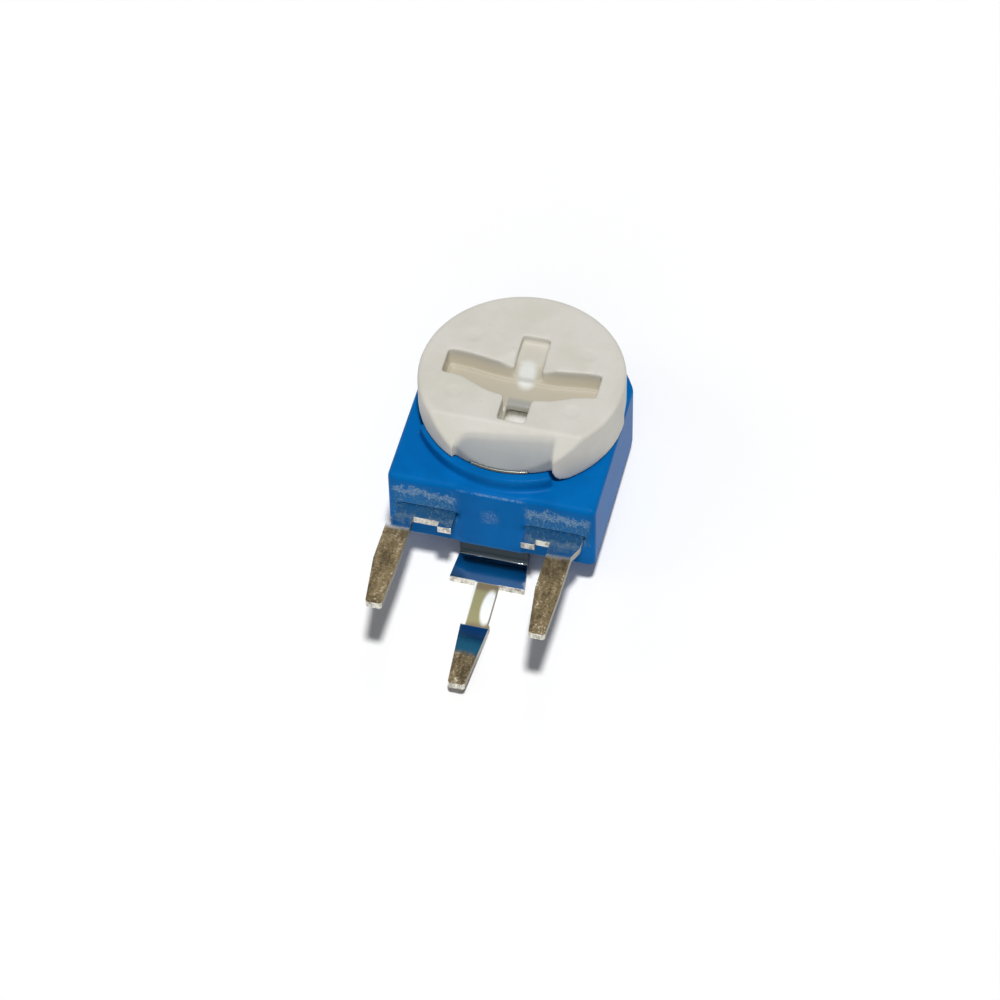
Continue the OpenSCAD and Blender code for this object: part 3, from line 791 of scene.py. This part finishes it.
@dataclass(frozen=True)
class TurnedMetal:
    """Bright plated rivet with faint rings from its tool."""

    base: Colour = (0.66, 0.65, 0.61)
    stain: Colour = (0.47, 0.45, 0.38)
    smoothest: float = 0.18
    rough_rings: float = 0.12
    rings_per_mm: float = 3.2
    ring_waver: float = 0.6
    ring_depth: float = 0.0015 * MM
    clouds: Cloud = Cloud(2.4, 3.0)
    stain_share: Fade = (0.5, 0.7)

    def material(self) -> bpy.types.Material:
        """Builds the material."""
        material, nodes = new_material("rivet_bright")
        point = nodes.place()
        settings = {"wave_type": "RINGS", "rings_direction": "Z", "wave_profile": "SIN"}
        inputs = {"Vector": point, "Scale": self.rings_per_mm, "Distortion": self.ring_waver}
        rings = nodes.make("ShaderNodeTexWave", settings, inputs).out("Fac")
        clouds = nodes.noise(point, self.clouds)
        nodes.surface({
            "Base Color": nodes.blend(clouds.between(*self.stain_share), self.base, self.stain),
            "Metallic": 1.0,
            "Roughness": rings * self.rough_rings + self.smoothest,
            "Normal": nodes.bump(rings * 0.6 + clouds * 0.4, self.ring_depth),
        })
        return material


@dataclass(frozen=True)
class Laminate:
    """Brown paper laminate of the wafer, with its fibres showing."""

    base: Colour = (0.20, 0.105, 0.045)
    fibre: Colour = (0.30, 0.175, 0.085)
    edge: Colour = (0.26, 0.16, 0.085)
    smoothest: float = 0.6
    rough_fibres: float = 0.12
    fibre_depth: float = 0.003 * MM
    along: Cloud = Cloud(1.0, 3.0, squeeze=(2.0, 16.0, 16.0))
    across: Cloud = Cloud(1.0, 3.0, squeeze=(16.0, 2.0, 16.0))
    along_share: Fade = (0.5, 0.72)
    across_share: Fade = (0.55, 0.75)
    edge_tilt: Fade = (0.7, 0.4)

    def material(self) -> bpy.types.Material:
        """Builds the material."""
        material, nodes = new_material("wafer_laminate")
        point = nodes.place()
        along = nodes.noise(point, self.along).between(*self.along_share)
        across = nodes.noise(point, self.across).between(*self.across_share)
        fibres = along | across
        colour = nodes.blend(fibres, self.base, self.fibre)
        colour = nodes.blend(nodes.facing(2).between(*self.edge_tilt), colour, self.edge)
        nodes.surface({
            "Base Color": colour,
            "Roughness": fibres * self.rough_fibres + self.smoothest,
            "Normal": nodes.bump(fibres, self.fibre_depth),
        })
        return material


@dataclass(frozen=True)
class PrintedInk:
    """Screen-printed ink, worn where the wiper's fingers run: the track or an end pad."""

    name: str
    base: Colour
    worn: Colour
    metallic: float
    roughness: float
    rough_grain: float = 0.16
    swept_sheen: float = 0.2
    print_depth: float = 0.002 * MM
    mesh_per_mm: float = 7.0
    grain: Cloud = Cloud(20.0, 3.0)
    wear_radius: Band = (1.84, 1.96, 0.05)
    wear_share: Fade = (0.3, 0.6)

    def material(self) -> bpy.types.Material:
        """Builds the material."""
        material, nodes = new_material(self.name)
        point = nodes.place()
        flat = nodes.squeezed(point, (1.0, 1.0, 0.0))
        length = nodes.make("ShaderNodeVectorMath", {"operation": "LENGTH"}, {0: flat})
        swept = length.out("Value").band(*self.wear_radius)
        mesh_marks = nodes.cells(point, self.mesh_per_mm)
        grain = nodes.noise(point, self.grain)
        worn = swept * grain.between(*self.wear_share)
        rough = grain * self.rough_grain - swept * self.swept_sheen + self.roughness
        nodes.surface({
            "Base Color": nodes.blend(worn, self.base, self.worn),
            "Metallic": self.metallic,
            "Roughness": rough,
            "Normal": nodes.bump(mesh_marks * 0.5 + grain * 0.5, self.print_depth),
        })
        return material


class Rounding(Enum):
    """Edge radius of each kind of piece, in millimetres."""

    SHEARED = 0.03
    SPRING = 0.015
    PRINTED = 0.006
    TURNED = 0.025


@dataclass
class Pieces:
    """Base of the sub-assemblies: finds its nodes in the frame and dresses them."""

    frame_nodes: dict[str, bpy.types.Object]
    corner_angle: float = math.radians(32)
    flat_angle: float = math.radians(0.5)
    weld_gap: float = 0.0005 * MM
    clean_gap: float = 0.001 * MM
    steps: int = 3
    face_weight: int = 80
    wear: float = 0.5

    def finish(self, node: str, material: bpy.types.Material) -> bpy.types.Object:
        """Gives a node its finish, and joins the loose corners of its mesh.

        Args:
            node: The node's name in the frame.
            material: Its finish.

        Returns:
            The node's object.
        """
        piece = self.frame_nodes[node]
        for slot in piece.material_slots:
            slot.material = material
        weld = piece.modifiers.new("weld", "WELD")
        weld.merge_threshold = self.weld_gap
        return piece

    def dress(self, node: str, material: bpy.types.Material, rounding: Rounding) -> None:
        """Gives a node its finish and rounds its sharp edges.

        Args:
            node: The node's name in the frame.
            material: Its finish.
            rounding: How much its edges are rounded.
        """
        piece = self.finish(node, material)
        smooth = piece.modifiers.new("smooth", "NODES")
        smooth.node_group = smooth_group()
        plain = piece.modifiers.new("plain", "DECIMATE")
        plain.decimate_type = "DISSOLVE"
        plain.angle_limit = self.flat_angle
        bevel = piece.modifiers.new("bevel", "BEVEL")
        bevel.width = rounding.value * MM
        bevel.segments = self.steps
        bevel.limit_method = "ANGLE"
        bevel.angle_limit = self.corner_angle
        bevel.miter_outer = "MITER_ARC"
        bevel.use_clamp_overlap = True
        clean = piece.modifiers.new("clean", "WELD")
        clean.merge_threshold = self.clean_gap
        weighted = piece.modifiers.new("weighted", "WEIGHTED_NORMAL")
        weighted.weight = self.face_weight
        weighted.keep_sharp = False
        LOG.info("%s: %s, edges rounded by %.3f mm", node, material.name, rounding.value)

    def soften(self, node: str, material: bpy.types.Material, voxel: float,
               passes: int) -> None:
        """Gives a moulded node its finish and soft, worn edges all over.

        Args:
            node: The node's name in the frame.
            material: Its finish.
            voxel: Size of the fine even mesh that is smoothed, in metres.
            passes: How many times it is smoothed.
        """
        piece = self.finish(node, material)
        even = piece.modifiers.new("even", "REMESH")
        even.mode = "VOXEL"
        even.voxel_size = voxel
        even.use_smooth_shade = True
        worn = piece.modifiers.new("worn", "SMOOTH")
        worn.factor = self.wear
        worn.iterations = passes
        LOG.info("%s: %s, softened over %d passes", node, material.name, passes)


def smooth_group() -> bpy.types.NodeTree:
    """The geometry nodes that make every face and edge smooth, made once.

    Returns:
        The node group.
    """
    name = "smooth_faces"
    group = bpy.data.node_groups.get(name)
    if group:
        return group
    group = bpy.data.node_groups.new(name, "GeometryNodeTree")
    for way in ("INPUT", "OUTPUT"):
        group.interface.new_socket("Geometry", in_out=way, socket_type="NodeSocketGeometry")
    nodes = Nodes(group)
    entry = nodes.make("NodeGroupInput").out()
    faces = nodes.make("GeometryNodeSetShadeSmooth", None, {0: entry}).out()
    edges = nodes.make("GeometryNodeSetShadeSmooth", {"domain": "EDGE"}, {0: faces}).out()
    nodes.make("NodeGroupOutput", None, {0: edges})
    return group


@dataclass
class Body(Pieces):
    """The blue housing."""

    plastic: BluePlastic = BluePlastic()
    voxel: float = 0.05 * MM
    passes: int = 16

    def build(self) -> None:
        """Dresses the housing."""
        self.soften("housing", self.plastic.material(), self.voxel, self.passes)


@dataclass
class Terminals(Pieces):
    """The two outer terminals and the cranked centre one."""

    outer_dull_y: float = -4.48
    centre_dull_y: float = -6.78

    def build(self) -> None:
        """Dresses the three terminals."""
        outer_tip, centre_tip = (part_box(node)[0].y * PER_MM
                                 for node in ("left_terminal", "centre_terminal"))
        outer = TinPlate("outer_tin", self.outer_dull_y, outer_tip).material()
        centre = CentreTin("centre_tin", self.centre_dull_y, centre_tip).material()
        self.dress("left_terminal", outer, Rounding.SHEARED)
        self.dress("right_terminal", outer, Rounding.SHEARED)
        self.dress("centre_terminal", centre, Rounding.SHEARED)


@dataclass
class Element(Pieces):
    """The wafer with its printed track and end pads."""

    laminate: Laminate = Laminate()
    carbon: PrintedInk = PrintedInk(
        "carbon_black", base=(0.018, 0.018, 0.019), worn=(0.045, 0.045, 0.047),
        metallic=0.0, roughness=0.55)
    silver: PrintedInk = PrintedInk(
        "silver_print", base=(0.52, 0.51, 0.47), worn=(0.66, 0.65, 0.62),
        metallic=0.85, roughness=0.5)

    def build(self) -> None:
        """Dresses the wafer, the track and both pads."""
        self.dress("element_wafer", self.laminate.material(), Rounding.SPRING)
        self.dress("carbon_track", self.carbon.material(), Rounding.PRINTED)
        silver = self.silver.material()
        self.dress("left_end_pad", silver, Rounding.PRINTED)
        self.dress("right_end_pad", silver, Rounding.PRINTED)


@dataclass
class Adjuster(Pieces):
    """The turning parts: rotor, wiper and rivet."""

    ivory: IvoryPlastic = IvoryPlastic()
    sheet: SpringSheet = SpringSheet()
    turned: TurnedMetal = TurnedMetal()
    voxel: float = 0.04 * MM
    passes: int = 18

    def build(self) -> None:
        """Dresses the three parts."""
        self.soften("rotor", self.ivory.material(), self.voxel, self.passes)
        self.dress("wiper", self.sheet.material(), Rounding.SPRING)
        self.dress("pivot_rivet", self.turned.material(), Rounding.TURNED)


class Lamp(Enum):
    """Soft lamps: compass angle, height above the floor, spread and share of the light.

    The three angles are in degrees. The compass angle is 0 on the side of the legs.
    """

    OVERHEAD = (42.0, 79.8, 6.0, 0.85)
    BACK = (180.0, 58.0, 22.0, 0.03)
    LEFT = (-75.0, 42.0, 30.0, 0.06)
    FRONT = (5.0, 32.0, 60.0, 0.09)


def direction(compass: float, height: float) -> Vector:
    """The direction from the part towards a lamp or the camera.

    Args:
        compass: Angle about Z in radians, 0 on the side of the legs.
        height: Angle above the XY plane in radians.

    Returns:
        A vector of length 1.
    """
    level = math.cos(height)
    return Vector((math.sin(compass) * level, -math.cos(compass) * level, math.sin(height)))


@dataclass
class Studio:
    """Floor, lamps, surroundings and camera."""

    frame_nodes: dict[str, bpy.types.Object]
    floor_colour: Colour = (0.97, 0.97, 0.97)
    floor_paler: float = 1.01
    floor_grain: Cloud = Cloud(2.0, 3.0)
    floor_roughness: float = 0.9
    floor_side: float = 3.0
    floor_gap: float = 0.002 * MM
    surroundings: float = 0.08
    azimuth: float = math.radians(15.262)
    elevation: float = math.radians(50.663)
    roll: float = math.radians(-1.311)
    distance: float = 129.728 * MM
    lens: float = 152.594
    sensor: float = 36.0
    aim: Vector = field(default_factory=lambda: Vector((0, 0, 2 * MM)))
    aim_right: float = -0.695 * MM
    aim_up: float = -2.448 * MM
    clip_near: float = 5 * MM
    clip_far: float = 20.0

    def build(self) -> None:
        """Makes everything that isn't the part itself."""
        lean = self.lean()
        LOG.info("the part leans by %.2f degrees", math.degrees(lean))
        self.make_floor(lean)
        for lamp in Lamp:
            self.make_lamp(lamp, lean)
        self.make_surroundings()
        self.make_camera()

    def lean(self) -> float:
        """How far the floor leans in the part's own frame, in radians.

        Returns:
            The angle at which the housing's back edge and the centre terminal both touch it.
        """
        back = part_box("housing")[1].y
        points = self.frame_nodes["centre_terminal"].data.vertices
        return max(math.atan2(-p.co.z, back - p.co.y) for p in points)

    def make_floor(self, lean: float) -> None:
        """Makes the plain pale floor.

        Args:
            lean: Its angle about the X axis.
        """
        mesh = bpy.data.meshes.new("floor")
        shape = bmesh.new()
        half = self.floor_side / 2
        corners = [shape.verts.new((x, y, 0)) for x, y in
                   ((-half, -half), (half, -half), (half, half), (-half, half))]
        shape.faces.new(corners)
        shape.to_mesh(mesh)
        shape.free()
        floor = bpy.data.objects.new("floor", mesh)
        bpy.context.scene.collection.objects.link(floor)
        down = Vector((0, math.sin(lean), -math.cos(lean))) * self.floor_gap
        floor.rotation_euler = (lean, 0, 0)
        floor.location = Vector((0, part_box("housing")[1].y, 0)) + down
        material, nodes = new_material("floor_paper")
        grain = nodes.noise(nodes.place(), self.floor_grain)
        paler = tuple(c * self.floor_paler for c in self.floor_colour)
        nodes.surface({
            "Base Color": nodes.blend(grain, self.floor_colour, paler),
            "Roughness": self.floor_roughness,
            "Specular IOR Level": 0.0,
        })
        mesh.materials.append(material)

    def make_lamp(self, lamp: Lamp, lean: float) -> None:
        """Makes one soft lamp.

        Args:
            lamp: Its place, spread and share of the light.
            lean: The floor's angle, which the lamp's place follows.
        """
        compass, height, spread, share = lamp.value
        towards = direction(math.radians(compass), math.radians(height))
        towards = Matrix.Rotation(lean, 3, "X") @ towards
        light = bpy.data.lights.new(lamp.name.lower(), "SUN")
        light.energy = share * math.pi
        light.angle = math.radians(spread)
        item = bpy.data.objects.new(light.name, light)
        item.rotation_mode = "QUATERNION"
        item.rotation_quaternion = towards.to_track_quat("Z", "Y")
        bpy.context.scene.collection.objects.link(item)

    def make_surroundings(self) -> None:
        """Makes a white world that lights the part softly."""
        world = bpy.data.worlds.new("surroundings")
        world.use_nodes = True
        bpy.context.scene.world = world
        nodes = Nodes(world.node_tree)
        rays = nodes.make("ShaderNodeLightPath")
        seen = rays.out("Is Camera Ray") | rays.out("Is Glossy Ray")
        seen = seen | rays.out("Is Transmission Ray")
        white = (1.0, 1.0, 1.0, 1.0)
        soft = nodes.make("ShaderNodeBackground", None, {0: white, 1: self.surroundings}).out()
        shown = nodes.make("ShaderNodeBackground", None, {0: white, 1: 1.0}).out()
        mixed = nodes.make("ShaderNodeMixShader", None, {0: seen, 1: soft, 2: shown}).out()
        nodes.make("ShaderNodeOutputWorld", None, {"Surface": mixed})

    def make_camera(self) -> None:
        """Makes the camera at the chosen viewing angle."""
        back = direction(self.azimuth, self.elevation)
        level = Vector((0, 0, 1)).cross(back).normalized()
        above = back.cross(level)
        right = level * math.cos(self.roll) + above * math.sin(self.roll)
        up = above * math.cos(self.roll) - level * math.sin(self.roll)
        data = bpy.data.cameras.new("camera")
        data.sensor_width = self.sensor
        data.lens = self.lens
        data.clip_start = self.clip_near
        data.clip_end = self.clip_far
        camera = bpy.data.objects.new("camera", data)
        turn = Matrix((right, up, back)).transposed().to_4x4()
        spot = self.aim + right * self.aim_right + up * self.aim_up + back * self.distance
        camera.matrix_world = Matrix.Translation(spot) @ turn
        bpy.context.scene.collection.objects.link(camera)
        bpy.context.scene.camera = camera


def main() -> None:
    """Loads the frame, dresses every sub-assembly and sets up the studio."""
    logging.basicConfig(level=logging.INFO, format="%(name)s: %(message)s")
    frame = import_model()
    nodes = frame["nodes"]
    Studio(nodes).build()
    for assembly in (Body(nodes), Terminals(nodes), Element(nodes), Adjuster(nodes)):
        assembly.build()
    bpy.context.scene.view_settings.view_transform = "Standard"
    bpy.context.view_layer.update()


if __name__ == "__main__":
    main()
